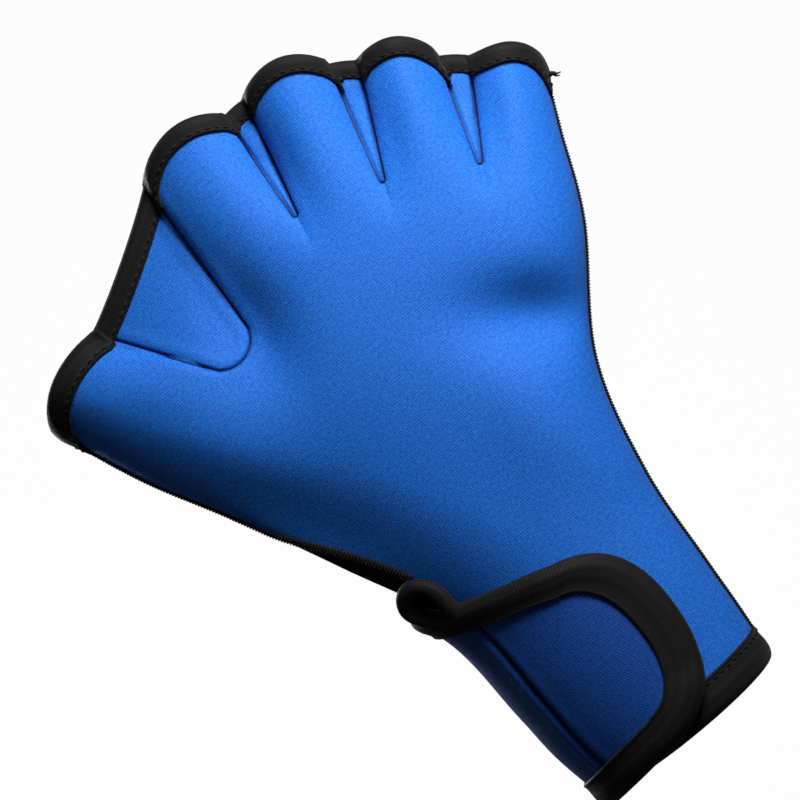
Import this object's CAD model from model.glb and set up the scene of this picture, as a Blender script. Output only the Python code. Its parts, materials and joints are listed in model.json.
"""Webbed swim glove, right-handed, as a Blender 4.5 scene.

The glove keeps the frame of its solids: +Z runs from the wrist opening to the stalls' mouths, -Y is
out of the back of the glove, and +X points to the little stall's side. Lengths in the tables are
shares of the named sizes unless a comment says millimetres, and the shapes are worked out in
millimetres and made in metres.
"""

import json
import logging
import math
from dataclasses import dataclass
from enum import Enum
from typing import Callable, Optional, Sequence

import bpy
import numpy as np
from mathutils import Matrix, Vector

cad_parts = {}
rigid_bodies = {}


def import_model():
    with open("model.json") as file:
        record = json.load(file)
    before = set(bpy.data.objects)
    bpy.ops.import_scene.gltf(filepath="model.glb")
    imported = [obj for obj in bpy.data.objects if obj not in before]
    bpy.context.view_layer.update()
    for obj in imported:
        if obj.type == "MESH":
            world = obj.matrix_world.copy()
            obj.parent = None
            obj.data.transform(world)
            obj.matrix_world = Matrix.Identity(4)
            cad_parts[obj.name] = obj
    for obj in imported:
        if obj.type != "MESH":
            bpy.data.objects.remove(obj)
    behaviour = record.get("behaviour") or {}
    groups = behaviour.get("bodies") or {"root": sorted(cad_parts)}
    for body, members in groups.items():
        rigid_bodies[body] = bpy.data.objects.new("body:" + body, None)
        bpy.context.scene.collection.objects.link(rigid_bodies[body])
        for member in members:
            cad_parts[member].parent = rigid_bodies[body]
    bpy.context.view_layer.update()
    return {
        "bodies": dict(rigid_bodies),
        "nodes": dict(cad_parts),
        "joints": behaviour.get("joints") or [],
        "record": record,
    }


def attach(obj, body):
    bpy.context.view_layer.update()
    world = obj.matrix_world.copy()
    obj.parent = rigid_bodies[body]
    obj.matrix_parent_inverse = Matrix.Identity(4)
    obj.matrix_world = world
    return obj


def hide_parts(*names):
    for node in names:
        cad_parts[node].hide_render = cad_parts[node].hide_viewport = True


logging.basicConfig(level=logging.INFO, format="%(message)s")
log = logging.getLogger("glove")

Array = np.ndarray
METRES_PER_MM = 0.001


@dataclass(frozen=True)
class GloveSizes:
    """Driving sizes of the glove, the same as those of its solids.

    Args:
        length: from the wrist opening to the longest stall's mouth, in millimetres.
        fan_width: over the stalls, from the thumb's side to the little one's.
        wrist_width: width of the wrist, and wrist_depth its depth.
        stall_depth: depth of a stall at its mouth.
        wall: thickness of the cloth.
        gap: clearance between sewn pieces.
        finger_curl: drop of the stalls to the palm, and thumb_drop and little_drop the sides' drops.
        slit_top: share of the way to the front at which the wrist's slit ends.
        wrap_top: share of the way at which the thumb-side seam has come to the plan's edge.
        wrap_share: share of the width by which that seam lies inside it at the wrist.
        stall_roundness: power of a valley's walls, which rounds the stalls beside it.
        stall_from: share of the way from which the section changes to the stalls' depth.
        bend_limit: most of a bend, as a share of its span.
        corner_power: how late the front's corners fade in, and bulge_power how late its arches do.
        arch_power: how full an arch is.
        valley_wall_from: depth in a valley from which its front is cut square to the plan.
        valley_wall_span: over what further depth it is.
    """

    length: float = 232.0
    fan_width: float = 182.0
    wrist_width: float = 64.0
    wrist_depth: float = 46.0
    stall_depth: float = 23.0
    wall: float = 2.5
    gap: float = 0.3
    finger_curl: float = 9.0
    thumb_drop: float = 13.0
    little_drop: float = 8.0
    slit_top: float = 0.42
    wrap_top: float = 0.62
    wrap_share: float = 0.07
    stall_roundness: float = 0.72
    stall_from: float = 0.6
    bend_limit: float = 1.1
    corner_power: float = 2.4
    bulge_power: float = 9.0
    arch_power: float = 0.85
    valley_wall_from: float = 0.5
    valley_wall_span: float = 0.3

    @property
    def half_girth(self) -> float:
        """Half the way round the wrist, taken as an ellipse."""
        return math.pi * math.hypot(self.wrist_width, self.wrist_depth) / math.sqrt(8)


SIZES = GloveSizes()

# Sections from the wrist to the front: x of both sides as shares of the fan's width and their
# heights as shares of the length, the rise to the back and to the palm as shares of the wrist's
# depth, and the roundness of the sides as a share of its width
SECTIONS = {
    "at": (0.00, 0.09, 0.17, 0.33, 0.50, 0.67, 0.83, 1.00),
    "left_x": (-0.156, -0.172, -0.176, -0.188, -0.272, -0.359, -0.430, -0.492),
    "left_z": (0.006, 0.078, 0.142, 0.284, 0.435, 0.578, 0.684, 0.802),
    "right_x": (0.169, 0.179, 0.186, 0.205, 0.262, 0.392, 0.458, 0.508),
    "right_z": (0.006, 0.078, 0.142, 0.284, 0.435, 0.578, 0.684, 0.763),
    "back": (0.480, 0.483, 0.485, 0.460, 0.420, 0.370, 0.300, 0.245),
    "palm": (0.480, 0.483, 0.485, 0.460, 0.450, 0.410, 0.330, 0.255),
    "round": (0.50, 0.50, 0.51, 0.54, 0.50, 0.38, 0.27, 0.20),
}


@dataclass(frozen=True)
class Stretch:
    """One stretch of the front edge, from its start corner to the next stretch's.

    Args:
        name: what the stretch is the mouth of.
        x: the corner's x as a share of the fan's width.
        z: its height as a share of the glove's length.
        bulge: how far the edge arches out, as a share of the stretch's length.
        skew: how the arch leans, over 1 to the little side and under 1 to the thumb side.
        tape: width of the folded tape on it, in millimetres.
    """

    name: str
    x: float
    z: float
    bulge: float
    skew: float
    tape: float


FRONT = (
    Stretch("thumb", -0.492, 0.802, 0.160, 0.8, 6.8),
    Stretch("web_thumb", -0.336, 0.867, -0.025, 1.0, 5.8),
    Stretch("index", -0.120, 0.966, 0.215, 1.0, 4.9),
    Stretch("web_index_middle", 0.055, 0.969, 0.05, 1.0, 4.4),
    Stretch("middle", 0.093, 0.970, 0.235, 1.0, 4.6),
    Stretch("web_middle_ring", 0.237, 0.934, 0.05, 1.0, 4.2),
    Stretch("ring", 0.274, 0.914, 0.235, 1.0, 4.8),
    Stretch("web_ring_little", 0.382, 0.852, 0.05, 1.0, 4.3),
    Stretch("little", 0.419, 0.829, 0.195, 1.4, 5.2),
)


@dataclass(frozen=True)
class Web:
    """One web between two stalls: a gusset in plan and the valley that it lies in.

    Args:
        name: the web's node.
        stretch: which stretch of the front edge it ends at.
        x: x of its inner tip as a share of the fan's width.
        z: height of the tip as a share of the glove's length.
        tip: radius of the tip as a share of the glove's length.
        fade: how far the valley runs on behind the tip, as the same share.
        shoulder: how far the valley rises at its sides, as the same share.
    """

    name: str
    stretch: int
    x: float
    z: float
    tip: float
    fade: float
    shoulder: float


WEBS = (
    Web("web_thumb", 1, -0.186, 0.757, 0.038, 0.09, 0.075),
    Web("web_index_middle", 3, 0.038, 0.817, 0.002, 0.07, 0.060),
    Web("web_middle_ring", 5, 0.181, 0.779, 0.002, 0.07, 0.060),
    Web("web_ring_little", 7, 0.321, 0.718, 0.002, 0.07, 0.060),
)


@dataclass(frozen=True)
class Fold:
    """One fold of the back, a long shallow dent.

    Args:
        x: x of its centre as a share of the fan's width.
        z: height of its centre as a share of the glove's length.
        turn_deg: its direction, in degrees from +X.
        length: half its length as a share of the glove's length.
        width: half its width as the same share.
        depth: how deep it is, as a share of the back's rise.
    """

    x: float
    z: float
    turn_deg: float
    length: float
    width: float
    depth: float


FOLDS = (
    Fold(0.262, 0.505, -38, 0.116, 0.047, 0.36),
    Fold(-0.150, 0.740, 65, 0.095, 0.069, 0.50),
    Fold(-0.270, 0.400, 78, 0.267, 0.138, 0.60),
)

# Shallow creases of the cloth itself: centre and half sizes in millimetres, and a depth that is
# under 0 for a bulge
CREASES = (
    {"x": -24.4, "z": 174.9, "turn_deg": 85, "length": 20, "width": 10, "depth": 3.4},
    {"x": 42.4, "z": 121.9, "turn_deg": -40, "length": 20, "width": 13, "depth": 3.4},
    {"x": 12.1, "z": 201.4, "turn_deg": 81, "length": 15, "width": 6, "depth": 1.7},
    {"x": 40.9, "z": 187.0, "turn_deg": 57, "length": 15, "width": 6, "depth": 1.7},
    {"x": 67.6, "z": 172.0, "turn_deg": 57, "length": 15, "width": 6, "depth": 1.7},
    {"x": 29.4, "z": 87.9, "turn_deg": 112, "length": 30, "width": 15, "depth": -2.8},
    {"x": -60.0, "z": 127.0, "turn_deg": 117, "length": 48, "width": 14, "depth": 5.0},
)

# Loose thread ends of the tapes: where each starts and how it runs, in millimetres
TAILS = (
    ((91.6, 7.4, 174.2), (2.6, -0.6, -2.6)),
    ((91.6, 6.6, 173.6), (3.4, 0.4, -1.4)),
)

# The tape's fold at the top of the slit, from the back's edge round to the palm's, in millimetres
SLIT_FOLD = (
    {"x": -31.9, "y": -13.0, "z": 71.4},
    {"x": -31.8, "y": -13.0, "z": 77.1},
    {"x": -33.7, "y": -12.5, "z": 81.7},
    {"x": -36.9, "y": -11.5, "z": 84.4},
    {"x": -39.9, "y": -10.0, "z": 83.9},
    {"x": -42.0, "y": -8.0, "z": 81.6},
    {"x": -42.6, "y": -6.5, "z": 78.4},
    {"x": -40.9, "y": -6.0, "z": 75.2},
    {"x": -37.8, "y": -7.0, "z": 71.7},
    {"x": -35.8, "y": -7.0, "z": 66.0},
)


def ease(low: float, high: float, value: Array) -> Array:
    """Smooth step from 0 at low to 1 at high."""
    share = np.clip((np.asarray(value, float) - low) / (high - low), 0, 1)
    return share * share * (3 - 2 * share)


def unit(vectors: Array) -> Array:
    """Vectors of length one, along the last axis."""
    return vectors / np.maximum(np.linalg.norm(vectors, axis=-1, keepdims=True), 1e-12)


def bell(dx: Array, dz: Array, turn_deg: float, length: float, width: float) -> Array:
    """A long bell-shaped bump, 1 at its centre."""
    turn = math.radians(turn_deg)
    run = (dx * math.cos(turn) + dz * math.sin(turn)) / length
    away = (dz * math.cos(turn) - dx * math.sin(turn)) / width
    return np.exp(-(run**2) - away**2)


def along(column: str, at: Array) -> Array:
    """A smooth value between the rows of the section table, by a Catmull-Rom curve.

    Past the last row the curve runs on straight.
    """
    knots = np.array(SECTIONS["at"])
    values = np.array(SECTIONS[column])
    at = np.asarray(at, float)
    row = np.searchsorted(knots[1:-1], at, side="left")
    before, after = np.maximum(row - 1, 0), np.minimum(row + 2, len(knots) - 1)
    span = knots[row + 1] - knots[row]
    share = (at - knots[row]) / span
    rise_in = (values[row + 1] - values[before]) / (knots[row + 1] - knots[before]) * span
    rise_out = (values[after] - values[row]) / (knots[after] - knots[row]) * span
    square, cube = share**2, share**3
    curve = values[row] * (2 * cube - 3 * square + 1) + rise_in * (cube - 2 * square + share)
    curve = curve + values[row + 1] * (3 * square - 2 * cube) + rise_out * (cube - square)
    return np.where(share > 1, values[row + 1] + rise_out * (share - 1), curve)


class GloveForm:
    """The outer face of the glove, as functions of round and at.

    round runs from 0 at the thumb side over the back to 1 at the little side and over the palm to
    2. at runs from 0 at the wrist to 1 at the front edge.
    """

    step = 1e-3

    def __init__(self, sizes: GloveSizes) -> None:
        """Works out the front's corners in millimetres, and where they lie across it."""
        self.sizes = sizes
        front = [(s.x * sizes.fan_width, s.z * sizes.length) for s in FRONT]
        self.corners = np.array(front + [tuple(self.side("right", np.array(1.0)))])
        lengths = np.linalg.norm(np.diff(self.corners, axis=0), axis=1)
        self.breaks = np.concatenate([[0.0], np.cumsum(lengths) / lengths.sum()])
        self.bulges = np.array([s.bulge for s in FRONT])
        self.skews = np.array([s.skew for s in FRONT])

    def side(self, name: str, at: Array) -> Array:
        """The x and z of one side of the plan."""
        x = along(name + "_x", at) * self.sizes.fan_width
        return np.stack([x, along(name + "_z", at) * self.sizes.length], -1)

    def plan_at(self, across: Array, at: Array) -> Array:
        """A point in plan. The front's chords and bulges fade in towards the front edge."""
        across, at = np.broadcast_arrays(across, at)
        left, right = self.side("left", at), self.side("right", at)
        point = left + (right - left) * across[..., None]
        stretch = np.clip(np.searchsorted(self.breaks, across, side="right") - 1, 0, len(FRONT) - 1)
        share = (across - self.breaks[stretch]) / (self.breaks[stretch + 1] - self.breaks[stretch])
        start, end = self.corners[stretch], self.corners[stretch + 1]
        chord = start + (end - start) * share[..., None]
        out = np.stack([start[..., 1] - end[..., 1], end[..., 0] - start[..., 0]], -1)
        leaning = np.clip(share, 0, 1) ** self.skews[stretch]
        arch = (4 * leaning * (1 - leaning)) ** self.sizes.arch_power * self.bulges[stretch]
        left, right = self.side("left", np.array(1.0)), self.side("right", np.array(1.0))
        straight = left + (right - left) * across[..., None]
        up = np.maximum(at, 0)[..., None]
        bulge = out * arch[..., None] * up**self.sizes.bulge_power
        return point + (chord - straight) * up**self.sizes.corner_power + bulge

    def plan(self, across: Array, at: Array) -> Array:
        """A point in plan, run on straight past the front edge."""
        across, at = np.broadcast_arrays(np.asarray(across, float), np.asarray(at, float))
        inside = self.plan_at(across, np.minimum(at, 1))
        back = self.plan_at(across, np.minimum(at, 1) - self.step)
        beyond = np.maximum(at - 1, 0)[..., None] / self.step
        return inside + (inside - back) * beyond

    def middle(self, x: Array, z: Array) -> Array:
        """How far the mid surface bends to the palm: each bend drops by the square of its share."""
        s = self.sizes
        bends = (
            (s.finger_curl, z / s.length, 0.4, 0.6),
            (s.thumb_drop, -x / s.fan_width, 0.1, 0.38),
            (s.little_drop, x / s.fan_width, 0.2, 0.3),
        )
        shares = [np.clip((way - start) / span, 0, s.bend_limit) for _, way, start, span in bends]
        return sum(row[0] * share**2 for row, share in zip(bends, shares))

    def web_plan(self, web: Web) -> tuple[Array, Array, Array, float, float]:
        """A web's tip, the rays to its two corners, its axis, its length and its tip radius."""
        tip = np.array([web.x * self.sizes.fan_width, web.z * self.sizes.length])
        start, end = self.corners[web.stretch], self.corners[web.stretch + 1]
        axis = (start + end) / 2 - tip
        sides = unit(np.stack([start - tip, end - tip]))
        length = float(np.linalg.norm(axis))
        return tip, sides, axis / length, length, web.tip * self.sizes.length

    def valley(self, web: Web, x: Array, z: Array) -> Array:
        """How far a point lies in a web's valley, from 0 outside to 1 on its floor.

        Distance from the gusset's two sides gives the climb, and a smooth step along the web's axis
        fades the valley out behind the tip.
        """
        tip, sides, axis, length, radius = self.web_plan(web)
        dx, dz = x - tip[0], z - tip[1]
        run = dx * axis[0] + dz * axis[1]
        turn = ease(-0.5 * length, 0.5 * length, run)[..., None]
        narrow = radius * (1 - np.clip(run / length, 0, 1))
        rays = [unit(axis + (side - axis) * turn) for side in sides]
        beside = [ray[..., 0] * dz - ray[..., 1] * dx for ray in rays]
        outside = np.maximum(beside[0] - narrow, -beside[1] - narrow)
        away = np.clip(outside / (web.shoulder * self.sizes.length), 0, 1)
        climb = 1 - (1 - away) ** 2
        fade = ease(-web.fade * self.sizes.length, 0.8 * length, run)
        return fade * (1 - climb**self.sizes.stall_roundness)

    def folded(self, x: Array, z: Array) -> Array:
        """The share of the back's rise that the folds leave, each taking a bell-shaped share of it."""
        left = np.ones(np.shape(x))
        for fold in FOLDS:
            dx, dz = x - fold.x * self.sizes.fan_width, z - fold.z * self.sizes.length
            length, width = fold.length * self.sizes.length, fold.width * self.sizes.length
            left = left * (1 - fold.depth * bell(dx, dz, fold.turn_deg, length, width))
        return left

    def creased(self, x: Array, z: Array) -> Array:
        """How far the creases take the back down, in millimetres."""
        down = np.zeros(np.shape(x))
        for row in CREASES:
            dx, dz = x - row["x"], z - row["z"]
            down = down + row["depth"] * bell(dx, dz, row["turn_deg"], row["length"], row["width"])
        return down

    def rise(self, column: str, x: Array, z: Array, at: Array) -> Array:
        """Rise of the outer face over the mid surface, on the back or on the palm."""
        s = self.sizes
        share = along(column, np.minimum(at, 1))
        stall = share * (s.stall_depth / s.wrist_depth / 2) / 0.25
        full = (share + (stall - share) * ease(s.stall_from, 1, at)) * s.wrist_depth
        is_open = np.prod([1 - self.valley(web, x, z) for web in WEBS], axis=0)
        floor = s.wall + s.gap / 2
        if column == "palm":
            return floor + (full - floor) * is_open
        return np.maximum(floor + (full - floor) * is_open * self.folded(x, z) - self.creased(x, z), floor)

    def face(self, round_: Array, at: Array) -> Array:
        """Points on the outer face, each side rounded by a quarter ellipse."""
        round_, at = np.broadcast_arrays(np.asarray(round_, float), np.asarray(at, float))
        across = (1 - np.cos(np.pi * round_)) / 2
        point = self.plan(across, at)
        low = np.minimum(at, 1)
        width = np.linalg.norm(self.side("left", low) - self.side("right", low), axis=-1)
        radius = np.minimum(along("round", low) * self.sizes.wrist_width, width / 2)
        inset = np.minimum(across, 1 - across) * width
        edge = np.sqrt(np.clip(1 - (1 - np.minimum(inset / radius, 1)) ** 2, 0, 1))
        x, z = point[..., 0], point[..., 1]
        back = np.sin(np.pi * round_) >= 0
        rise = edge * np.where(back, self.rise("back", x, z, at), self.rise("palm", x, z, at))
        return np.stack([x, self.middle(x, z) + np.where(back, -rise, rise), z], -1)

    def deepest(self, x: Array, z: Array) -> Array:
        """How far a point lies in the deepest valley over it."""
        return np.max([self.valley(web, x, z) for web in WEBS], axis=0)

    def outward(self, round_: Array, at: Array) -> Array:
        """Direction out of the outer face, square to the plan at the front of a web."""
        step = self.step
        sideways = self.face(round_ + step, at) - self.face(round_ - step, at)
        upwards = self.face(round_, at + step) - self.face(round_, at - step)
        out = unit(np.cross(sideways, upwards))
        point = self.face(round_, at)
        depth = self.deepest(point[..., 0], point[..., 2]) - self.sizes.valley_wall_from
        depth = np.clip(depth / self.sizes.valley_wall_span, 0, 1)
        keep = 1 - ease(0.9, 1, at) * depth
        return unit(out * np.stack([keep, np.ones_like(keep), keep], -1))

    def surface(self, round_: Array, at: Array, offset: Array) -> Array:
        """Points at a distance out of the outer face, in millimetres."""
        round_, at, offset = np.broadcast_arrays(round_, at, offset)
        return self.face(round_, at) + self.outward(round_, at) * offset[..., None]

    def wrap(self, at: Array) -> Array:
        """Where the thumb-side seam lies round the section."""
        share = self.sizes.wrap_share * (1 - ease(self.sizes.slit_top, self.sizes.wrap_top, at))
        return np.arccos(1 - 2 * share) / np.pi

    def per_mm(self, round_: Array, at: Array) -> Array:
        """The step in round that goes one millimetre round the section."""
        ahead = self.face(round_ + self.step, at) - self.face(round_, at)
        return self.step / np.maximum(np.linalg.norm(ahead, axis=-1), 1e-9)

    def edge_scale(self, round_: Array) -> Array:
        """The step in at that goes one millimetre square to the front edge, in plan."""
        across = (1 - np.cos(np.pi * np.asarray(round_, float))) / 2
        ones = np.ones_like(across)
        ray = self.plan(across, ones + self.step) - self.plan(across, ones)
        ahead = self.plan(np.minimum(across + self.step, 1), ones)
        tangent = unit(ahead - self.plan(np.maximum(across - self.step, 0), ones))
        square = np.abs(ray[..., 0] * tangent[..., 1] - ray[..., 1] * tangent[..., 0])
        return self.step / np.maximum(square, 0.5 * np.linalg.norm(ray, axis=-1))

    def locate(self, x: Array, z: Array) -> tuple[Array, Array]:
        """The round and at on the back of points in plan, by Newton's method on the plan."""
        across = np.clip(x / self.sizes.fan_width + 0.5, 0.02, 0.98)
        at = np.clip(z / self.sizes.length, 0.05, 1.0)
        step = 1e-4
        for _ in range(40):
            here = self.plan(across, at)
            by_across = (self.plan(across + step, at) - here) / step
            by_at = (self.plan(across, at + step) - here) / step
            miss_x, miss_z = x - here[..., 0], z - here[..., 1]
            det = by_across[..., 0] * by_at[..., 1] - by_across[..., 1] * by_at[..., 0]
            move_across = (miss_x * by_at[..., 1] - miss_z * by_at[..., 0]) / det
            move_at = (by_across[..., 0] * miss_z - by_across[..., 1] * miss_x) / det
            across = np.clip(across + np.clip(move_across, -0.05, 0.05), 0.001, 0.999)
            at = np.clip(at + np.clip(move_at, -0.05, 0.05), 0.0, 1.02)
        return np.arccos(1 - 2 * across) / np.pi, at


FORM = GloveForm(SIZES)


@dataclass
class Shape:
    """A mesh in the making: points in millimetres, faces, and a place in millimetres for patterns.

    Args:
        points: (n, 3) positions in millimetres.
        faces: (m, 4) indices; a triangle repeats its last index.
        pattern: (n, 2) place on the cloth in millimetres, stored as the UV map.
        seam: (n,) how dark a seam makes the cloth, from 0 to 1.
    """

    points: Array
    faces: Array
    pattern: Array
    seam: Optional[Array] = None

    def seams(self) -> Array:
        """The seam shade of every point, 0 where none is given."""
        return np.zeros(len(self.points)) if self.seam is None else self.seam

    @staticmethod
    def joined(shapes: Sequence["Shape"]) -> "Shape":
        """Several shapes as one."""
        starts = np.cumsum([0] + [len(s.points) for s in shapes[:-1]])
        return Shape(
            np.concatenate([s.points for s in shapes]),
            np.concatenate([s.faces + start for s, start in zip(shapes, starts)]),
            np.concatenate([s.pattern for s in shapes]),
            np.concatenate([s.seams() for s in shapes]),
        )

    @staticmethod
    def grid(
        points: Array,
        pattern: Array,
        close_rows: bool = False,
        close_columns: bool = False,
        seam: Optional[Array] = None,
    ) -> "Shape":
        """A grid of points (rows, columns, 3) as quads, closed round its rows or columns if asked."""
        rows, columns = points.shape[:2]
        index = np.arange(rows * columns).reshape(rows, columns)
        if close_rows:
            index = np.concatenate([index, index[:1]], 0)
        if close_columns:
            index = np.concatenate([index, index[:, :1]], 1)
        quads = np.stack([index[:-1, :-1], index[:-1, 1:], index[1:, 1:], index[1:, :-1]], -1)
        shade = None if seam is None else seam.reshape(-1)
        return Shape(points.reshape(-1, 3), quads.reshape(-1, 4), pattern.reshape(-1, 2), shade)


def arc_length(points: Array) -> Array:
    """Length along a line of points, from 0, along the first axis."""
    steps = np.linalg.norm(np.diff(points, axis=0), axis=-1)
    return np.concatenate([np.zeros_like(steps[:1]), np.cumsum(steps, axis=0)])


def make_piece(
    name: str,
    shape: Shape,
    material: bpy.types.Material,
    nodes: Sequence[str],
    weld: float = 0.01,
) -> bpy.types.Object:
    """Turns a shape into a piece that rides on the glove and stands for its nodes.

    Args:
        name: the piece's name.
        shape: its points, faces and pattern.
        material: its finish.
        nodes: the nodes of the solids that it replaces.
        weld: points closer than this many millimetres become one.

    Returns:
        The new object, at the origin.
    """
    keys = np.round(shape.points / weld).astype(np.int64)
    _, first, inverse = np.unique(keys, axis=0, return_index=True, return_inverse=True)
    faces, source = inverse.reshape(-1)[shape.faces], shape.faces
    spot = shape.points[first][faces]
    across = np.cross(spot[:, 2] - spot[:, 0], spot[:, 3] - spot[:, 1])
    if (across * spot.mean(axis=1)).sum() < 0:
        faces, source = faces[:, ::-1], source[:, ::-1]
    kept = faces != np.roll(faces, -1, axis=1)
    keep = kept.sum(axis=1) >= 3
    faces, source, kept = faces[keep], source[keep], kept[keep]
    sizes = kept.sum(axis=1)
    mesh = bpy.data.meshes.new(name)
    mesh.vertices.add(len(first))
    mesh.vertices.foreach_set("co", (shape.points[first] * METRES_PER_MM).astype(np.float32).ravel())
    loops = faces[kept]
    mesh.loops.add(len(loops))
    mesh.loops.foreach_set("vertex_index", loops.astype(np.int32))
    mesh.polygons.add(len(faces))
    mesh.polygons.foreach_set("loop_start", np.concatenate([[0], np.cumsum(sizes)[:-1]]).astype(np.int32))
    layer = mesh.uv_layers.new(name="cloth")
    mesh.update(calc_edges=True)
    layer.data.foreach_set("uv", shape.pattern[source[kept]].astype(np.float32).ravel())
    shade = mesh.attributes.new("seam", "FLOAT", "POINT")
    shade.data.foreach_set("value", shape.seams()[first].astype(np.float32))
    mesh.validate()
    mesh.polygons.foreach_set("use_smooth", np.ones(len(mesh.polygons), dtype=bool))
    mesh.materials.append(material)
    obj = bpy.data.objects.new(name, mesh)
    bpy.context.scene.collection.objects.link(obj)
    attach(obj, "root")
    if nodes:
        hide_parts(*nodes)
    log.info("%s: %d faces", name, len(mesh.polygons))
    return obj


class Signal:
    """A shader value that takes arithmetic, so that a pattern reads as its formula."""

    def __init__(self, tree: bpy.types.NodeTree, socket: bpy.types.NodeSocket) -> None:
        """Wraps a socket of a material's tree."""
        self.tree = tree
        self.socket = socket

    def node(self, kind: str, inputs: dict, output: str | int = 0, **settings: object) -> "Signal":
        """Adds any node: inputs are set or linked by name or number, settings are its properties."""
        node = self.tree.nodes.new(kind)
        for name, value in settings.items():
            setattr(node, name, value)
        for name, value in inputs.items():
            if isinstance(value, Signal):
                self.tree.links.new(value.socket, node.inputs[name])
            else:
                node.inputs[name].default_value = value
        return Signal(self.tree, node.outputs[output])

    def math(self, operation: str, *others: "Signal | float") -> "Signal":
        """A Math node on this value and up to two others."""
        return self.node("ShaderNodeMath", dict(enumerate((self, *others))), operation=operation)

    def __add__(self, other: "Signal | float") -> "Signal":
        """The sum."""
        return self.math("ADD", other)

    __radd__ = __add__

    def __sub__(self, other: "Signal | float") -> "Signal":
        """The difference."""
        return self.math("SUBTRACT", other)

    def __rsub__(self, other: float) -> "Signal":
        """The difference from a number."""
        return self.math("MULTIPLY_ADD", -1.0, other)

    def __mul__(self, other: "Signal | float") -> "Signal":
        """The product."""
        return self.math("MULTIPLY", other)

    __rmul__ = __mul__

    def wave(self, period: float) -> "Signal":
        """A smooth wave of that period, from 0 to 1."""
        return (self * (2 * math.pi / period)).math("COSINE") * 0.5 + 0.5

    def between(self, low: "tuple | Signal", high: tuple) -> "Signal":
        """A colour between two, by this share."""
        inputs = {"Factor": self, 6: low if isinstance(low, Signal) else (*low, 1), 7: (*high, 1)}
        return self.node("ShaderNodeMix", inputs, 2, data_type="RGBA", clamp_factor=True)


def linear(*srgb: int) -> tuple[float, float, float]:
    """A colour of 0 to 255 in linear light."""
    return tuple(((c / 255 + 0.055) / 1.055) ** 2.4 if c > 10 else c / 255 / 12.92 for c in srgb)


@dataclass(frozen=True)
class Cloth:
    """Finish of a cloth: rows and stitches of its knit or weave, two colours and a nap.

    Args:
        name: the record's name for its material slot.
        deep: colour in the weave's hollows, 0 to 255.
        bright: colour on its ridges.
        row: pitch of its rows in millimetres.
        stitch: pitch of the stitches along a row in millimetres.
        relief: height of the weave in millimetres.
        roughness: roughness of the fibres.
        sheen: how much light its nap catches at its edges.
        mottle: how far slow patches move the colour, as a share.
        specular: how strongly its fibres mirror the light.
        rows: how much of the weave its rows make, up to 0.6; the stitches make the rest.
        grain: how much its fibres roughen the weave.
        seam_shade: how bright a sewn seam's line is, as a share of the deep colour.
    """

    name: str
    deep: tuple[int, int, int]
    bright: tuple[int, int, int]
    row: float
    stitch: float
    relief: float
    roughness: float = 0.8
    sheen: float = 0.15
    mottle: float = 0.5
    specular: float = 0.25
    rows: float = 0.3
    grain: float = 0.6
    seam_shade: float = 0.12

    def material(self) -> bpy.types.Material:
        """The finish as a procedural material that reads the piece's own UV map, in millimetres."""
        material = bpy.data.materials.new(self.name)
        material.use_nodes = True
        tree = material.node_tree
        shader = tree.nodes["Principled BSDF"]
        place = tree.nodes.new("ShaderNodeUVMap")
        place.uv_map = "cloth"
        start = Signal(tree, place.outputs["UV"])
        parts = start.node("ShaderNodeSeparateXYZ", {0: start})
        along_row, across_row = parts, Signal(tree, parts.socket.node.outputs["Y"])
        patches = {"Vector": start, "Scale": 0.9, "Detail": 3.0, "Roughness": 0.6}
        slow = start.node("ShaderNodeTexNoise", patches)
        fibres = {"Vector": start, "Scale": 2.6, "Detail": 2.0, "Roughness": 0.7}
        fine = start.node("ShaderNodeTexNoise", fibres)
        rows = (across_row + slow * 0.5).wave(self.row)
        slant = across_row * (0.5 * self.stitch / self.row)
        stitches = (along_row + slant + fine * 0.3).wave(self.stitch)
        weave = rows * self.rows + stitches * (0.6 - self.rows) + (fine - 0.5) * self.grain + 0.2
        seam = start.node("ShaderNodeAttribute", {}, "Fac", attribute_name="seam")
        level = (weave - 0.5) * 0.8 + 0.5 + (slow - 0.5) * self.mottle
        cloth = level.between(linear(*self.deep), linear(*self.bright))
        shaded = seam.between(cloth, tuple(self.seam_shade * c for c in linear(*self.deep)))
        tree.links.new(shaded.socket, shader.inputs["Base Color"])
        height = {"Height": weave, "Distance": self.relief * METRES_PER_MM, "Strength": 0.7}
        tree.links.new(start.node("ShaderNodeBump", height).socket, shader.inputs["Normal"])
        shader.inputs["Roughness"].default_value = self.roughness
        shader.inputs["Specular IOR Level"].default_value = self.specular
        shader.inputs["Sheen Weight"].default_value = self.sheen
        shader.inputs["Sheen Roughness"].default_value = 0.5
        return material


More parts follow.
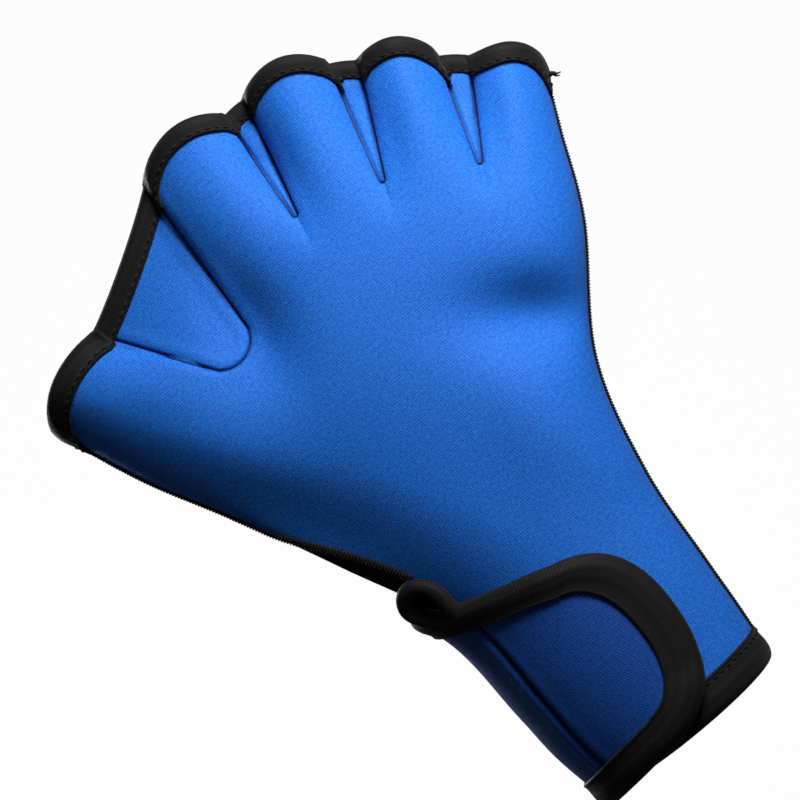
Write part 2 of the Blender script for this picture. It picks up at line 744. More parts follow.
class Finish(Enum):
    """The finishes of the glove, by the record's material slot."""

    BLUE = Cloth(
        "blue_neoprene", (8, 47, 148), (33, 126, 222), row=0.8, stitch=0.62, relief=0.12,
        roughness=0.65, sheen=0.03, mottle=0.9, specular=0.18, rows=0.22, grain=1.7,
    )
    BLACK = Cloth(
        "black_neoprene", (3, 3, 4), (22, 22, 26), row=0.8, stitch=0.62, relief=0.10,
        roughness=0.8, sheen=0.03, mottle=0.5, specular=0.06,
    )
    TAPE = Cloth(
        "black_tape", (2, 2, 2), (27, 26, 25), row=3.0, stitch=0.7, relief=0.24,
        roughness=0.6, sheen=0.05, mottle=0.3, specular=0.1, rows=0.3, grain=0.8,
    )
    STRAP = Cloth(
        "blue_neoprene", (7, 32, 104), (25, 86, 170), row=0.8, stitch=0.62, relief=0.12,
        roughness=0.65, sheen=0.02, mottle=0.9, specular=0.15, rows=0.22, grain=1.7,
    )
    THREAD = Cloth(
        "black_thread", (8, 7, 6), (36, 31, 27), row=1.0, stitch=0.4, relief=0.08,
        roughness=0.6, sheen=0.05, mottle=0.3, specular=0.1,
    )
    HOOK = Cloth("black_hook_tape", (8, 8, 8), (34, 34, 34), row=1.2, stitch=1.2, relief=0.3)


@dataclass
class Workshop:
    """Makes pieces in their finishes, each finish once."""

    materials: dict[Finish, bpy.types.Material]

    @classmethod
    def opened(cls) -> "Workshop":
        """A workshop with every finish made."""
        return cls({finish: finish.value.material() for finish in Finish})

    def piece(self, name: str, shape: Shape, finish: Finish, *nodes: str) -> bpy.types.Object:
        """A piece in a finish, in that finish's slot."""
        obj = make_piece(name, shape, self.materials[finish], nodes)
        return obj


def smooth_loop(profile: Array, times: int = 1) -> Array:
    """Rounds a closed profile by cutting its corners at a quarter and three quarters."""
    for _ in range(times):
        after = np.roll(profile, -1, axis=-2)
        cut = np.stack([0.75 * profile + 0.25 * after, 0.25 * profile + 0.75 * after], -2)
        profile = cut.reshape(*profile.shape[:-2], -1, 2)
    return profile


def tape_profile(width: float, lining: float, wall: float, plump: float = 1.0) -> Array:
    """Section of a folded tape as (run, offset) pairs in millimetres.

    run is negative inside the edge and offset is out of the outer face. The tape swells between its
    stitched lip and the edge, turns over it and lies on the inner face.
    """
    return np.array([
        (-width, 0.0), (-width - 0.1, 0.55), (-width + 0.35, 1.0 * plump), (-width + 0.9, 0.75 * plump),
        (-0.68 * width, 0.95 * plump), (-0.4 * width, 1.35 * plump), (-0.12 * width, 1.3 * plump),
        (0.7, 0.75), (1.45, -0.3), (1.6, -0.5 * wall), (1.4, -0.95 * wall), (0.7, -wall - 0.9),
        (-0.3 * lining, -wall - 1.2), (-lining, -wall - 0.9), (-lining, -wall + 0.3), (0.0, -0.5 * wall),
    ])


def capped(grid: Array, pattern: Array) -> Shape:
    """A tube (stations, profile, 3), closed round its profile, with its two ends shut."""
    body = Shape.grid(grid, pattern, close_columns=True)
    ends = []
    for row in (0, -1):
        centre = grid[row].mean(axis=0)
        ring = np.stack([np.broadcast_to(centre, grid[row].shape), grid[row]])
        if row == -1:
            ring = ring[::-1]
        ends.append(Shape.grid(ring, np.stack([pattern[row], pattern[row]]), close_columns=True))
    return Shape.joined([body, *ends])


def edge_strip(low: Array, high: Array, flat: Array) -> Shape:
    """The edge between two lines of points, one on each face of a cloth."""
    return Shape.grid(np.stack([low, high]), np.stack([flat, flat]))


def slab_shape(
    outer: Array,
    inner: Array,
    flat: Array,
    seam: Array,
    left: slice | Array = slice(None),
    right: slice | Array = slice(None),
) -> Shape:
    """Cloth with a wall from its two faces as grids of points, closed along its edges.

    Args:
        outer: (rows, columns, 3) points of the outer face.
        inner: points of the inner face.
        flat: (rows, columns, 2) their places on the cloth.
        seam: (rows, columns) shade of the seams on the outer face.
        left: which rows have an edge at the first column.
        right: which rows have one at the last column.
    """
    return Shape.joined([
        Shape.grid(outer, flat, seam=seam),
        Shape.grid(inner[::-1], flat[::-1]),
        edge_strip(inner[0], outer[0], flat[0]),
        edge_strip(outer[-1], inner[-1], flat[-1]),
        edge_strip(inner[left][::-1, 0], outer[left][::-1, 0], flat[left][::-1, 0]),
        edge_strip(inner[right][:, -1], outer[right][:, -1], flat[right][:, -1]),
    ])


def resampled(line: Array, pitch: float) -> Array:
    """A line of points spread evenly along itself, about pitch millimetres apart."""
    way = arc_length(line)
    even = np.linspace(0, way[-1], int(way[-1] / pitch))
    return np.stack([np.interp(even, way, line[:, i]) for i in range(line.shape[1])], -1)


def softened(line: Array, reach: int) -> Array:
    """A line with each point at the mean of those up to reach steps from it."""
    kernel = np.ones(2 * reach + 1) / (2 * reach + 1)
    padded = np.pad(line, ((reach, reach), (0, 0)), mode="edge")
    return np.stack([np.convolve(padded[:, i], kernel, mode="valid") for i in range(line.shape[1])], -1)


def squares(rows: Array, columns: Array) -> tuple[Array, Array]:
    """Two lists of numbers as a grid, one along its rows and one along its columns."""
    return np.meshgrid(rows, columns, indexing="ij")


def tubes(centres: Array, normals: Array, radii: Array, ring: int = 6) -> Shape:
    """Many short threads at once, each a tube round its own line.

    Args:
        centres: (n, sections, 3) points of each thread's line in millimetres.
        normals: (n, sections, 3) directions out of the cloth under it.
        radii: (sections,) radius at each section; the ends close where it is small.
        ring: points round each section.

    Returns:
        All the threads as one shape, with closed ends.
    """
    tangent = unit(np.gradient(centres, axis=1))
    side = unit(np.cross(tangent, normals))
    up = unit(np.cross(side, tangent))
    turn = np.linspace(0, 2 * np.pi, ring + 1)[:-1]
    around = side[:, :, None] * np.cos(turn)[:, None] + up[:, :, None] * np.sin(turn)[:, None]
    points = centres[:, :, None] + around * radii[None, :, None, None]
    count, sections = centres.shape[:2]
    index = np.arange(count * sections * ring).reshape(count, sections, ring)
    after = np.roll(index, -1, axis=2)
    quads = np.stack([index[:, :-1], after[:, :-1], after[:, 1:], index[:, 1:]], -1).reshape(-1, 4)
    last = [index[:, -1, [0, 1, 2, 3]], index[:, -1, [0, 3, 4, 5]]]
    ends = [*last, index[:, 0, [3, 2, 1, 0]], index[:, 0, [5, 4, 3, 0]]]
    length = np.broadcast_to(arc_length(centres.swapaxes(0, 1)).T[:, :, None], index.shape)
    pattern = np.stack([length, np.broadcast_to(turn * 0.3, index.shape)], -1)
    return Shape(points.reshape(-1, 3), np.concatenate([quads, *ends]), pattern.reshape(-1, 2))


def stitches(
    path: Array,
    normals: Array,
    pitch: float = 2.9,
    length: float = 2.2,
    radius: float = 0.24,
) -> Shape:
    """A row of stitches along a line on the cloth, each an arched thread that dips in at both ends.

    Args:
        path: (n, 3) the line in millimetres.
        normals: (n, 3) directions out of the cloth along it.
        pitch: distance from stitch to stitch.
        length: length of each stitch.
        radius: radius of the thread.
    """
    way = arc_length(path)
    starts = np.arange(0.4, way[-1] - length, pitch)
    share = np.linspace(0, 1, 6)
    at = starts[:, None] + share * length
    centres = np.stack([np.interp(at, way, path[:, i]) for i in range(3)], -1)
    out = np.stack([np.interp(at, way, normals[:, i]) for i in range(3)], -1)
    lift = radius * (2.2 * np.sin(np.pi * share) - 0.9)
    radii = radius * np.array([0.6, 0.95, 1.0, 1.0, 0.95, 0.6])
    return tubes(centres + out * lift[:, None], unit(out), radii)


def groove_stitches(grid: Array) -> Shape:
    """Stitches in the groove beside a tape's lip, from the tape's grid (stations, profile, 3)."""
    groove = 6
    line = grid[:, groove]
    normal = unit(np.cross(np.gradient(line, axis=0), grid[:, groove + 1] - grid[:, groove - 1]))
    outward = grid[:, groove] - grid[:, -3]
    sign = np.sign((normal * outward).sum(-1).mean())
    return stitches(line, normal * sign)


@dataclass
class Panels:
    """The cloth panels: the blue back with its V slots, the gussets in them, and the black palm.

    Args:
        form: the glove's surface.
        row_pitch: distance between rows of points in millimetres.
        groove: depth of the seam round a gusset in millimetres.
        groove_width: half its width.
        puff: how far the cloth swells beside a seam.
        puff_at: how far from the seam it does, and puff_width over how far.
        shade_width: half the width of the dark line in it.
        tip_radius: least radius of a gusset's tip.
        palm_columns: columns of points round the palm.
    """

    form: GloveForm
    row_pitch: float = 1.35
    groove: float = 0.8
    groove_width: float = 0.5
    puff: float = 0.25
    puff_at: float = 2.6
    puff_width: float = 1.6
    shade_width: float = 0.34
    tip_radius: float = 0.5
    palm_columns: int = 110

    def __post_init__(self) -> None:
        """Works out the gussets' outlines, their tips and the rows of points."""
        self.outlines = {web.name: self.outline(web) for web in WEBS}
        self.places = {
            name: self.form.locate(line[:, 0], line[:, 1]) for name, line in self.outlines.items()
        }
        self.tips = {name: float(at.min()) for name, (_, at) in self.places.items()}
        self.rows = self.row_ladder()

    def outline(self, web: Web) -> Array:
        """A gusset's outline in plan: down one side, round its tip and up the other side."""
        tip, sides, _, _, radius = self.form.web_plan(web)
        blunt = max(radius, self.tip_radius)
        angles = np.arctan2(sides[:, 1], sides[:, 0]) + np.array([math.pi / 2, -math.pi / 2])
        sweep = (angles[1] - angles[0]) % (2 * math.pi)
        turn = angles[0] + np.linspace(0, sweep, 25)
        arc = tip + blunt * np.stack([np.cos(turn), np.sin(turn)], -1)
        corners = self.form.corners[[web.stretch, web.stretch + 1]]
        share = np.linspace(0, 1, 60)[:, None]
        down = corners[0] + (arc[0] - corners[0]) * share
        up = arc[-1] + (corners[1] - arc[-1]) * share
        return np.concatenate([down[:-1], arc, up[1:]])

    def row_ladder(self) -> Array:
        """Rows from wrist to front, closer together beside each tip."""
        count = int(self.form.sizes.length / self.row_pitch)
        beside = np.array([-2.6, -1.7, -1.0, -0.5, 0.0, 0.5, 1.0, 1.7, 2.6]) / self.form.sizes.length
        rows = np.concatenate([np.linspace(0, 1, count), *[tip + beside for tip in self.tips.values()]])
        rows = np.sort(rows)
        keep = np.concatenate([[True], np.diff(rows) > 0.15 / self.form.sizes.length])
        return rows[keep]

    def sides_of(self, web: Web) -> tuple[Array, Array]:
        """The round of a gusset's two sides at each row. Below the tip both lie at the tip."""
        round_, at = self.places[web.name]
        low = int(np.argmin(at))
        left = np.interp(self.rows, at[low::-1], round_[low::-1])
        right = np.interp(self.rows, at[low:], round_[low:])
        return left, right

    def seam_distance(self, points: Array) -> Array:
        """Distance in plan from points to the nearest gusset outline, in millimetres."""
        plan = points[..., [0, 2]].reshape(-1, 2)
        best = np.full(len(plan), 99.0)
        for line in self.outlines.values():
            start, way = line[:-1], np.diff(line, axis=0)
            near = np.flatnonzero(np.all((plan > line.min(0) - 6) & (plan < line.max(0) + 6), axis=1))
            offset = plan[near, None] - start
            share = np.clip((offset * way).sum(-1) / (way**2).sum(-1), 0, 1)
            gap = np.linalg.norm(offset - way * share[..., None], axis=-1).min(axis=1)
            best[near] = np.minimum(best[near], gap)
        return best.reshape(points.shape[:-1])

    def lane(self, left: Array, right: Array, columns: int) -> Array:
        """The round of each point of a lane between two sides, closer together at both sides.

        Args:
            left: round of the left side at each row.
            right: round of the right side.
            columns: how many columns lie between the close ones.

        Returns:
            round at each row and column.
        """
        rows = self.rows
        width = np.linalg.norm(self.form.face(right, rows) - self.form.face(left, rows), axis=-1) * 1.03
        near = np.array([0.0, 0.2, 0.4, 0.65, 1.0, 1.6, 2.5])
        most = np.arange(len(near)) * (0.42 / len(near))
        close = np.minimum(near / np.maximum(width, 1e-3)[:, None], most)
        last = close[:, -1:]
        share = np.linspace(0, 1, columns + 2)[1:-1]
        shares = np.concatenate([close, last + (1 - 2 * last) * share, 1 - close[:, ::-1]], axis=1)
        round_ = left[:, None] + (right - left)[:, None] * shares
        round_[:, -1] = right
        return round_

    def wall(
        self,
        round_: Array,
        rows: Array,
        seams: bool,
        open_from: tuple[float, float] = (0.0, 0.0),
    ) -> Shape:
        """A lane as cloth with a wall: outer face, inner face and its edges.

        Args:
            round_: round of each point, by row and column.
            rows: the rows' at.
            seams: whether gusset seams are sunk into it.
            open_from: the at from which each side is an edge, and not joined to the next lane.
        """
        at = np.broadcast_to(rows[:, None], round_.shape)
        face = self.form.face(round_, at)
        dip = np.zeros(at.shape)
        shade = np.zeros(at.shape)
        if seams:
            gap = self.seam_distance(face)
            swell = self.puff * np.exp(-(((gap - self.puff_at) / self.puff_width) ** 2))
            dip = swell - self.groove * np.exp(-((gap / self.groove_width) ** 2))
            shade = np.exp(-((gap / self.shade_width) ** 2))
        outer = self.form.surface(round_, at, dip)
        inner = self.form.surface(round_, at, np.full(at.shape, -self.form.sizes.wall))
        left, right = (rows >= start - 1e-9 for start in open_from)
        return slab_shape(outer, inner, outer[..., [0, 2]], shade, left, right)

    def build(self, shop: Workshop) -> None:
        """Makes the back panel, the gussets and the palm panel."""
        start = self.form.wrap(self.rows)
        sides = [self.sides_of(web) for web in WEBS]
        lefts = [start] + [right for _, right in sides]
        rights = [left for left, _ in sides] + [np.ones_like(start)]
        columns = (26, 26, 20, 17, 20)
        tips = [0.0, *self.tips.values(), 0.0]
        lanes = [
            self.wall(self.lane(left, right, count), self.rows, True, (tips[i], tips[i + 1]))
            for i, (left, right, count) in enumerate(zip(lefts, rights, columns))
        ]
        shop.piece("back_cloth", Shape.joined(lanes), Finish.BLUE, "back_panel")
        for web, (left, right) in zip(WEBS, sides):
            rows = self.rows >= self.tips[web.name] - 1e-6
            count = 30 if web.name == "web_thumb" else 6
            shape = self.wall(self.lane(left, right, count)[rows], self.rows[rows], True)
            shop.piece(web.name + "_cloth", shape, Finish.BLUE, web.name)
        turn = self.form.wrap(self.rows) * ease(SIZES.slit_top - 0.04, SIZES.slit_top, self.rows)
        share = np.linspace(0, 1, self.palm_columns)
        palm = 1 + (1 + turn)[:, None] * share
        shop.piece("palm_cloth", self.wall(palm, self.rows, False), Finish.BLACK, "palm_panel")


@dataclass
class FrontTapes:
    """The folded tapes over the front edge: one ring round each stall mouth, one strip on each web.

    Args:
        form: the glove's surface.
        lap: how far a ring's tape runs on over its neighbour, in millimetres.
        proud: how much further out a ring's tape lies than a web's, in millimetres.
        pitch: distance between sections along the tape, in millimetres.
        end_from: the round from which the tape narrows towards the two sides of the glove.
        end_cut: by what share it narrows there.
    """

    form: GloveForm
    lap: float = 1.6
    proud: float = 0.35
    pitch: float = 0.7
    end_from: float = 0.965
    end_cut: float = 0.5

    def half(self, index: int, palm: bool) -> Array:
        """One side of the tape on a stretch, as a grid of points (stations, profile, 3)."""
        stretch = FRONT[index]
        ring = not stretch.name.startswith("web")
        ends = np.arccos(1 - 2 * self.form.breaks[[index, index + 1]]) / np.pi
        lap = self.lap if ring else 0.3
        scale = self.form.per_mm(np.clip(ends, 0.02, 0.98), np.ones(2))
        first = ends[0] - lap * scale[0] if index > 0 else 0.0
        last = ends[1] + lap * scale[1] if index < len(FRONT) - 1 else 1.0
        length = float(np.linalg.norm(self.form.corners[index + 1] - self.form.corners[index]))
        stations = np.linspace(first, last, int(length * 1.3 / self.pitch))
        round_ = np.clip(2 - stations, 1.0, 2.0) if palm else np.clip(stations, 0.0, 1.0)
        edge = self.form.face(round_, np.ones_like(round_))
        depth = self.form.deepest(edge[:, 0], edge[:, 2])
        closing = ease(0.7, 0.95, depth)[:, None, None]
        wall = self.form.sizes.wall
        open_ = smooth_loop(tape_profile(stretch.tape, 0.8 * stretch.tape, wall))
        shut = smooth_loop(tape_profile(stretch.tape, 0.2, wall * 0.75))
        profile = open_ + (shut - open_) * closing
        lift = self.proud if ring else 0.0
        near_end = ease(self.end_from, 1.0, stations) + ease(1 - self.end_from, 0.0, stations)
        inside = (1 - self.end_cut * near_end)[:, None]
        run = profile[..., 0] * np.where(profile[..., 0] < 0, inside, 1.0)
        run = run * self.form.edge_scale(round_)[:, None]
        offset = profile[..., 1] + lift * (profile[..., 1] > -0.5 * wall)
        return self.form.surface(round_[:, None], 1 + run, offset)

    def build(self, shop: Workshop) -> None:
        """Makes the tape of every stretch, and the stitches in it."""
        rows = []
        for index, stretch in enumerate(FRONT):
            shapes = []
            for palm in (False, True):
                grid = self.half(index, palm)
                length = arc_length(grid[:, 8])
                across = arc_length(grid[len(grid) // 2])
                pattern = np.stack(squares(length, across), -1)
                shapes.append(capped(grid, pattern))
                rows.append(groove_stitches(grid))
            shop.piece("tape_" + stretch.name, Shape.joined(shapes), Finish.TAPE, "binding_" + stretch.name)
        shop.piece("stitches_front", Shape.joined(rows), Finish.THREAD)
        tails = [self.tail(start, way) for start, way in TAILS]
        shop.piece("thread_tails", Shape.joined(tails), Finish.THREAD)

    def tail(self, start: Sequence[float], way: Sequence[float]) -> Shape:
        """A loose end of thread, a short curved tube from a point on the tape."""
        share = np.linspace(0, 1, 9)[:, None]
        line = np.array(start) + np.array(way) * share
        line[:, 1] -= 1.2 * np.sin(np.pi * share[:, 0])
        line[:, 0] += 0.5 * np.sin(2 * np.pi * share[:, 0])
        radii = np.array([0.75, 0.7, 0.62, 0.55, 0.48, 0.4, 0.34, 0.28, 0.2])
        return tubes(line[None], np.broadcast_to(np.array([0.0, -1.0, 0.3]), (1, 9, 3)), radii)


@dataclass
class Wrist:
    """The wrist: its hem tape, the slit's tape, and the closing strap with its own tape.

    Args:
        form: the glove's surface.
        hem: width of the hem tape in millimetres.
        strap_reach: how far the strap's end lies round the wrist from the thumb side.
        strap_seam: where the strap's strip and its end are sewn together.
        strap_underlap: how far the strip runs on round to the palm.
        strap_height: height of the strap at its seam.
        strap_foot: height of its lower edge.
        strap_tape: width of the tape along its top, round its end and along its foot.
        seam_depth: depth of the seam between the strap's two cloths.
        tape_thick: thickness of the tapes that the strap lies over, and hook_thick the hook tape's.
        end_start: share of the reach at which the strap's end begins to round.
        end_power: how square the round end is; 2 is an ellipse.
        taper_end: share of the reach over which the strap tapers.
        top_taper: how far its top comes down there, as a share of its height.
        foot_taper: how far its foot comes up there.
        slit_tape: half width and half thickness of the slit's folded tape.
        hook: the hook tape's start and end, back from the strap's reach, and half its height.
        hook_lift: how far it lies over the back panel.
    """

    form: GloveForm
    hem: float = 9.0
    strap_reach: float = 56.5
    strap_seam: float = 18.5
    strap_underlap: float = 22.0
    strap_height: float = 77.5
    strap_foot: float = -1.5
    strap_tape: tuple[float, float, float] = (7.2, 9.0, 8.8)
    seam_depth: float = 1.1
    tape_thick: float = 1.0
    hook_thick: float = 1.3
    end_start: float = 0.62
    end_power: float = 2.3
    taper_end: float = 0.72
    top_taper: float = 0.185
    foot_taper: float = 0.075
    slit_tape: tuple[float, float] = (2.7, 2.3)
    hook: tuple[float, float, float] = (31.0, 9.0, 17.0)
    hook_lift: float = 0.3

    @property
    def foot(self) -> float:
        """Height of the wrist edge."""
        return SECTIONS["left_z"][0] * self.form.sizes.length

    def way(self, round_: Array, height: Array) -> Array:
        """The share of the way at which the wrist has a given height."""
        across = (1 - np.cos(np.pi * round_)) / 2
        length = self.form.sizes.length
        at = height / length
        for _ in range(6):
            reached = self.form.plan_at(across, np.maximum(at, 0))[..., 1]
            at = at + (height - reached - np.minimum(at, 0) * length) / length
        return at

    def face(self, round_: Array, height: Array, offset: Array) -> Array:
        """Points over the wrist's outer face, run on straight below its edge."""
        round_, height, offset = np.broadcast_arrays(round_, height, offset)
        point = self.form.surface(round_, self.way(round_, np.maximum(height, self.foot)), offset)
        point[..., 2] += np.minimum(height - self.foot, 0)
        return point

    def strap_face(self, across: Array, up: Array, offset: Array) -> Array:
        """Points on the strap, which lies over the hem tape, the slit tape and the hook patch."""
        fold = self.tape_thick + self.form.sizes.gap
        over_slit = 2 * fold + 2 * self.form.sizes.gap
        over_end = max(self.hook_thick, fold) + 2 * self.form.sizes.gap
        over_hem = 1 - ease(self.hem + 2, self.hem + 10, up)
        past = ease(2 * self.strap_seam, 3 * self.strap_seam, across)
        lift = over_slit + (over_end + fold * over_hem - over_slit) * past
        return self.face(across / self.form.sizes.half_girth, up, lift + offset)

    def tapered(self, across: Array) -> Array:
        """How far the strap has tapered, from 0 to 1."""
        return np.clip(across / (self.taper_end * self.strap_reach), 0, 1)

    def top(self, across: Array) -> Array:
        """Height of the strap's upper edge."""
        return self.strap_height * (1 - self.top_taper * self.tapered(across))

    def bottom(self, across: Array) -> Array:
        """Height of the strap's lower edge."""
        return self.strap_foot + self.foot_taper * self.strap_height * self.tapered(across)

    def edge(self, up: Array) -> Array:
        """The round end of the strap laid flat, from up = -1 at its foot to 1 at its top."""
        level = np.sin(up * np.pi / 2)
        round_ = np.maximum(1 - np.abs(level) ** self.end_power, 0) ** (1 / self.end_power)
        across = self.strap_reach * (self.end_start + (1 - self.end_start) * round_)
        low, high = self.bottom(across), self.top(across)
        return np.stack([across, low + (high - low) * (level + 1) / 2], -1)

    def flat(self, share: Array, up: Array) -> Array:
        """A place on the strap's end laid flat, from its seam to its round edge."""
        end = self.edge(up)
        level = (np.sin(up * np.pi / 2) + 1) / 2
        start = np.full_like(level, self.strap_seam + 0.1)
        low, high = self.bottom(start), self.top(start)
        begin = np.stack([start, low + (high - low) * level], -1)
        return begin + (end - begin) * share[..., None]

    def border(self, count: int = 90) -> tuple[Array, Array]:
        """The strap's border laid flat, and the direction out of it at each place."""
        base = np.linspace(-self.strap_underlap, self.strap_seam, 40)
        share = np.linspace(0, 1, 50)[1:]
        ends = np.linspace(1, -1, count)[1:-1]
        ones = np.ones_like(share)
        top = np.concatenate([np.stack([base, self.top(base)], -1), self.flat(share, ones)])
        low = np.concatenate([np.stack([base, self.bottom(base)], -1), self.flat(share, -ones)])
        points = resampled(np.concatenate([top, self.edge(ends), low[::-1]]), 0.8)
        tangent = unit(softened(unit(np.gradient(points, axis=0)), 3))
        return points, np.stack([-tangent[:, 1], tangent[:, 0]], -1)

    def slab(self, flat: Array, wall: float) -> Shape:
        """Cloth of the strap from a grid of flat places, with its wall, sunk beside the strap's seam."""
        beside = np.abs(flat[..., 0] - self.strap_seam)
        swell = 0.35 * np.exp(-(((beside - 2.4) / 1.3) ** 2))
        sunk = self.seam_depth * np.exp(-((beside / 0.8) ** 2)) - swell
        outer = self.strap_face(flat[..., 0], flat[..., 1], wall - sunk)
        inner = self.strap_face(flat[..., 0], flat[..., 1], np.zeros(flat.shape[:2]))
        return slab_shape(outer, inner, flat, np.exp(-((beside / 0.55) ** 2)))

    def build_fold(self, shop: Workshop) -> None:
        """Makes the slit's tape: up the back's edge, and round the slit's top in a standing fold."""
        low = np.linspace(self.foot + self.hem + 1, 60, 14)
        edge = self.face(self.form.wrap(low / self.form.sizes.length), low, 0.4)
        knots = np.concatenate([edge, [[row[axis] for axis in "xyz"] for row in SLIT_FOLD]])
        way = arc_length(knots)
        path = softened(resampled(knots, 0.5), 4)
        tangent = unit(np.gradient(path, axis=0))
        side = unit(np.cross(tangent, np.array([-0.25, -1.0, 0.0])))
        up = unit(np.cross(side, tangent))
        angle = np.linspace(0, 2 * np.pi, 25)[:-1]
        wide, thick = self.slit_tape
        aside = np.cos(angle) * wide * (1 - 0.12 * np.cos(2 * angle))
        ring = side[:, None] * aside[:, None] + up[:, None] * (np.sin(angle) * thick)[:, None]
        pattern = np.stack(squares(arc_length(path), angle * 2.0), -1)
        tape = capped(path[:, None] + ring, pattern)
        shop.piece("tape_slit", tape, Finish.TAPE, "binding_slit")
        bend = path[way[len(edge)] < np.linspace(0, way[-1], len(path))]
        share = np.linspace(0, 1, 12)[:, None, None]
        floor = bend + (bend.mean(axis=0) - bend) * share
        floor[..., 1] += 1.5 + 2.5 * share[..., 0]
        shop.piece("slit_lining", Shape.grid(floor, floor[..., [0, 2]]), Finish.BLACK)

    def build_hook(self, shop: Workshop) -> None:
        """Makes the hook patch on the back panel, under the strap's end."""
        start, end, half = self.hook
        middle = (self.bottom(self.strap_reach) + self.top(self.strap_reach)) / 2
        run = self.strap_reach - np.linspace(start, end, 24)
        across, up = squares(run, np.linspace(middle - half, middle + half, 36))
        round_ = across / self.form.sizes.half_girth
        lifts = (self.hook_lift + self.hook_thick, self.hook_lift)
        faces = [self.face(round_, up, lift) for lift in lifts]
        patch = slab_shape(*faces, np.stack([across, up], -1), np.zeros(across.shape))
        shop.piece("hook_tape", patch, Finish.HOOK, "hook_patch")

    def build_strap(self, shop: Workshop) -> None:
        """Makes the strap's end, its strip and its tape. Points lie closer together at the seam."""
        wall = self.form.sizes.wall
        near = np.array([0, 0.006, 0.013, 0.022, 0.034, 0.05, 0.07, 0.1])
        share, up = squares(np.append(near, np.linspace(0.13, 1, 56)), np.linspace(-1, 1, 80))
        end_cloth = self.slab(self.flat(share, up), wall)
        shop.piece("strap_end_cloth", end_cloth, Finish.STRAP, "strap_end")
        far = np.linspace(-self.strap_underlap, self.strap_seam - 4, 36)
        across, level = squares(np.append(far, self.strap_seam - near[::-1] * 30), np.linspace(0, 1, 80))
        low, high = self.bottom(across), self.top(across)
        strip = self.slab(np.stack([across, low + (high - low) * level], -1), wall)
        shop.piece("strap_strip_cloth", strip, Finish.STRAP, "strap_base")
        points, out = self.border()
        top, end, foot = self.strap_tape
        width = top * np.maximum(out[:, 1], 0) ** 2 + end * np.maximum(out[:, 0], 0) ** 2
        width = width + foot * np.maximum(-out[:, 1], 0) ** 2
        profile = smooth_loop(tape_profile(end, 0.5 * end, wall, 1.35))
        run = np.where(profile[:, 0] < 0, profile[:, 0] * width[:, None] / end, profile[:, 0])
        place = points[:, None] + out[:, None] * run[..., None]
        lift = wall + np.broadcast_to(profile[:, 1], place.shape[:2])
        grid = self.strap_face(place[..., 0], place[..., 1], lift)
        pattern = np.stack(squares(arc_length(points), arc_length(profile)), -1)
        shop.piece("tape_strap", capped(grid, pattern), Finish.TAPE, "binding_strap")

    def build_hem(self, shop: Workshop) -> None:
        """Makes the tape round the wrist edge, and the stitches in it."""
        turn = np.linspace(0, 2, 241)[:-1]
        profile = smooth_loop(tape_profile(self.hem, self.hem, self.form.sizes.wall, 1.2))
        height = self.foot - np.broadcast_to(profile[:, 0], (len(turn), len(profile)))
        grid = self.face(turn[:, None], height, np.broadcast_to(profile[:, 1], height.shape))
        pattern = np.stack(squares(arc_length(grid[:, 0]), arc_length(profile)), -1)
        tape = Shape.grid(grid, pattern, close_rows=True, close_columns=True)
        shop.piece("tape_wrist", tape, Finish.TAPE, "binding_wrist")
        shop.piece("stitches_wrist", Shape.joined([groove_stitches(grid)]), Finish.THREAD)

    def build(self, shop: Workshop) -> None:
        """Makes the strap, the slit's tape, the hook patch and the hem."""
        self.build_strap(shop)
        self.build_fold(shop)
        self.build_hook(shop)
        self.build_hem(shop)


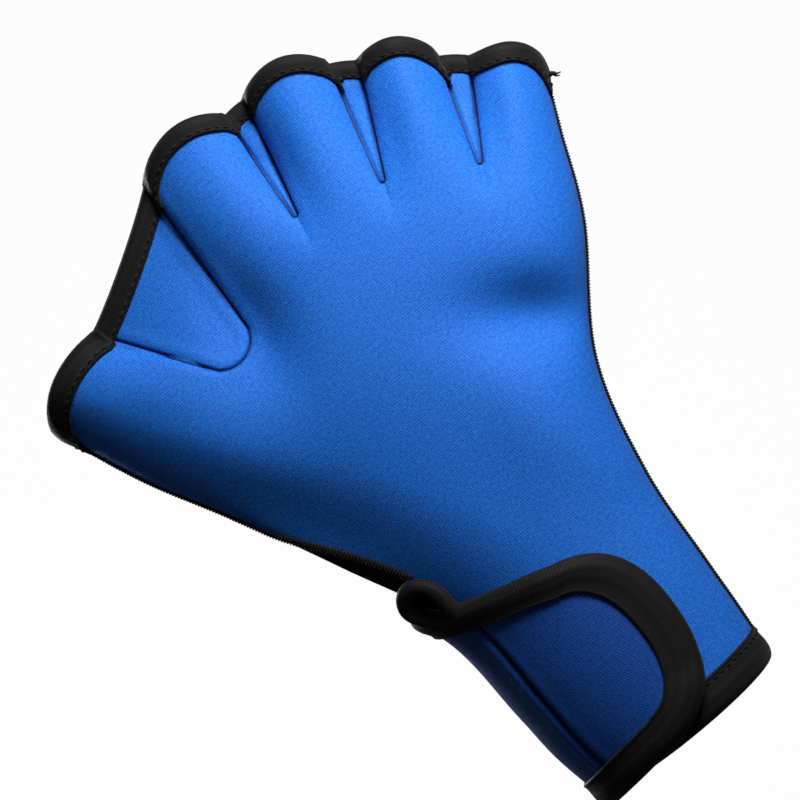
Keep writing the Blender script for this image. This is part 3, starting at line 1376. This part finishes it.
@dataclass
class SideSeams:
    """The overlocked seams down both sides: a soft ridge with thread loops laid slanting over it.

    Args:
        form: the glove's surface.
        half_width: half the width of the ridge in millimetres.
        height: height of the ridge.
        pitch: distance from loop to loop.
        slant: how far a loop runs along the seam as it crosses it.
        thread: radius of its thread.
        overhang: how far a loop reaches past the ridge.
        ends: shares of the way between which the seams run.
    """

    form: GloveForm
    half_width: float = 1.5
    height: float = 0.6
    pitch: float = 0.95
    slant: float = 0.8
    thread: float = 0.26
    overhang: float = 0.3
    ends: tuple[float, float] = (0.045, 0.975)

    def build_one(
        self,
        shop: Workshop,
        name: str,
        round_at: Callable[[Array], Array],
        span: tuple[float, float],
        node: str,
    ) -> None:
        """Makes one seam between two shares of the way, at the round that round_at gives."""
        form = self.form
        length = (span[1] - span[0]) * form.sizes.length
        at = np.linspace(*span, int(length / 1.2))
        line = form.face(round_at(at), at)
        way = arc_length(line)
        arch = [(-1.0, 0.0), (-0.6, 0.75), (0.0, 1.0), (0.6, 0.75), (1.0, 0.0), (0.0, -0.6)]
        profile = smooth_loop(np.array(arch))
        aside = profile[None, :, 0] * self.half_width * form.per_mm(round_at(at), at)[:, None]
        lift = 0.15 + profile[None, :, 1] * self.height
        ridge = form.surface(round_at(at)[:, None] + aside, at[:, None], lift)
        pattern = np.stack(squares(way, arc_length(profile)), -1)
        starts = np.arange(0.5, way[-1] - 2, self.pitch)
        share = np.linspace(0, 1, 8)
        place = starts[:, None] + share * self.slant
        loop_at = np.interp(place, way, at)
        across = (2 * share - 1) * (self.half_width + self.overhang)
        loop_round = round_at(loop_at) + across * form.per_mm(round_at(loop_at), loop_at)
        lift = 0.1 + self.height * (1 - (2 * share - 1) ** 2) + self.thread * 0.4
        centres = form.surface(loop_round, loop_at, np.broadcast_to(lift, loop_at.shape))
        normals = form.outward(loop_round, loop_at)
        radii = self.thread * np.array([0.5, 0.9, 1, 1, 1, 1, 0.9, 0.5])
        shapes = [capped(ridge, pattern), tubes(centres, normals, radii)]
        shop.piece(name, Shape.joined(shapes), Finish.THREAD, node)

    def build(self, shop: Workshop) -> None:
        """Makes both seams."""
        above_slit = (self.form.sizes.slit_top, self.ends[1])
        self.build_one(shop, "overlock_thumb_side", self.form.wrap, above_slit, "seam_thumb_side")
        self.build_one(shop, "overlock_little_side", np.ones_like, self.ends, "seam_little_side")


@dataclass(frozen=True)
class Camera:
    """The view: along +Y at the back, rolled so that the wrist opening lies at the lower right."""

    roll_deg: float = 40.0
    aim_x: float = -4.4
    aim_z: float = 128.1
    distance: float = 790.0
    lens: float = 120.0
    frame_width: float = 236.0

    def build(self) -> None:
        """Adds the camera and makes it the scene's."""
        roll = math.radians(self.roll_deg)
        right = Vector((math.cos(roll), 0, -math.sin(roll)))
        up = Vector((math.sin(roll), 0, math.cos(roll)))
        data = bpy.data.cameras.new("camera")
        data.lens = self.lens
        data.sensor_width = self.lens * self.frame_width / self.distance
        data.clip_start = 0.01
        camera = bpy.data.objects.new("camera", data)
        back = Vector((0, -1, 0))
        turn = Matrix((right, up, back)).transposed().to_4x4()
        place = Vector((self.aim_x, -self.distance, self.aim_z)) * METRES_PER_MM
        camera.matrix_world = Matrix.Translation(place) @ turn
        bpy.context.scene.collection.objects.link(camera)
        bpy.context.scene.camera = camera


@dataclass(frozen=True)
class Studio:
    """A pale room that only the camera sees, a soft key light, a fill from behind and a pale sky.

    Args:
        key_watts: power of the key light, and key_size its width in metres.
        key_at: its place in metres.
        fill_watts: power of the fill light, and fill_size its width in metres.
        fill_at: its place in metres.
        sky: strength of the sky.
        room: half the room's width in metres.
    """

    key_watts: float = 3.6
    key_size: float = 0.2
    key_at: tuple[float, float, float] = (0.26, -0.25, 0.38)
    fill_watts: float = 6.0
    fill_size: float = 0.5
    fill_at: tuple[float, float, float] = (-0.3, 0.62, 0.35)
    sky: float = 0.06
    room: float = 2.5

    def light(self, name: str, place: Sequence[float], watts: float, size: float) -> None:
        """An area light at a place in metres, turned to the glove's middle."""
        data = bpy.data.lights.new(name, "AREA")
        data.energy = watts
        data.size = size
        obj = bpy.data.objects.new(name, data)
        way = Vector((0.0, 0.0, 0.12)) - Vector(place)
        turn = way.to_track_quat("-Z", "Y").to_matrix().to_4x4()
        obj.matrix_world = Matrix.Translation(Vector(place)) @ turn
        bpy.context.scene.collection.objects.link(obj)

    def build(self) -> None:
        """Adds the room, the lights and the sky, and sets the view transform."""
        mesh = bpy.data.meshes.new("room")
        signs = (-self.room, self.room)
        corners = [(x, y, z) for x in signs for y in signs for z in signs]
        walls = [(0, 1, 3, 2), (4, 6, 7, 5), (0, 4, 5, 1), (2, 3, 7, 6), (0, 2, 6, 4), (1, 5, 7, 3)]
        mesh.from_pydata(corners, [], walls)
        room = bpy.data.objects.new("room", mesh)
        room.visible_diffuse = False
        room.visible_glossy = False
        room.visible_shadow = False
        material = bpy.data.materials.new("pale_paper")
        material.use_nodes = True
        shader = material.node_tree.nodes["Principled BSDF"]
        shader.inputs["Base Color"].default_value = (0.9, 0.9, 0.9, 1)
        shader.inputs["Roughness"].default_value = 0.9
        shader.inputs["Emission Color"].default_value = (1, 1, 1, 1)
        shader.inputs["Emission Strength"].default_value = 0.9
        mesh.materials.append(material)
        bpy.context.scene.collection.objects.link(room)
        self.light("key", self.key_at, self.key_watts, self.key_size)
        self.light("fill", self.fill_at, self.fill_watts, self.fill_size)
        world = bpy.data.worlds.new("sky")
        world.use_nodes = True
        world.node_tree.nodes["Background"].inputs["Color"].default_value = (1, 1, 1, 1)
        world.node_tree.nodes["Background"].inputs["Strength"].default_value = self.sky
        scene = bpy.context.scene
        scene.world = world
        scene.view_settings.view_transform = "Standard"


def main() -> None:
    """Builds the glove piece by piece, then the camera and the light."""
    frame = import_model()
    shop = Workshop.opened()
    Panels(FORM).build(shop)
    FrontTapes(FORM).build(shop)
    Wrist(FORM).build(shop)
    SideSeams(FORM).build(shop)
    Camera().build()
    Studio().build()
    log.info("frame %s", "loaded" if frame else "empty")


if __name__ == "__main__":
    main()
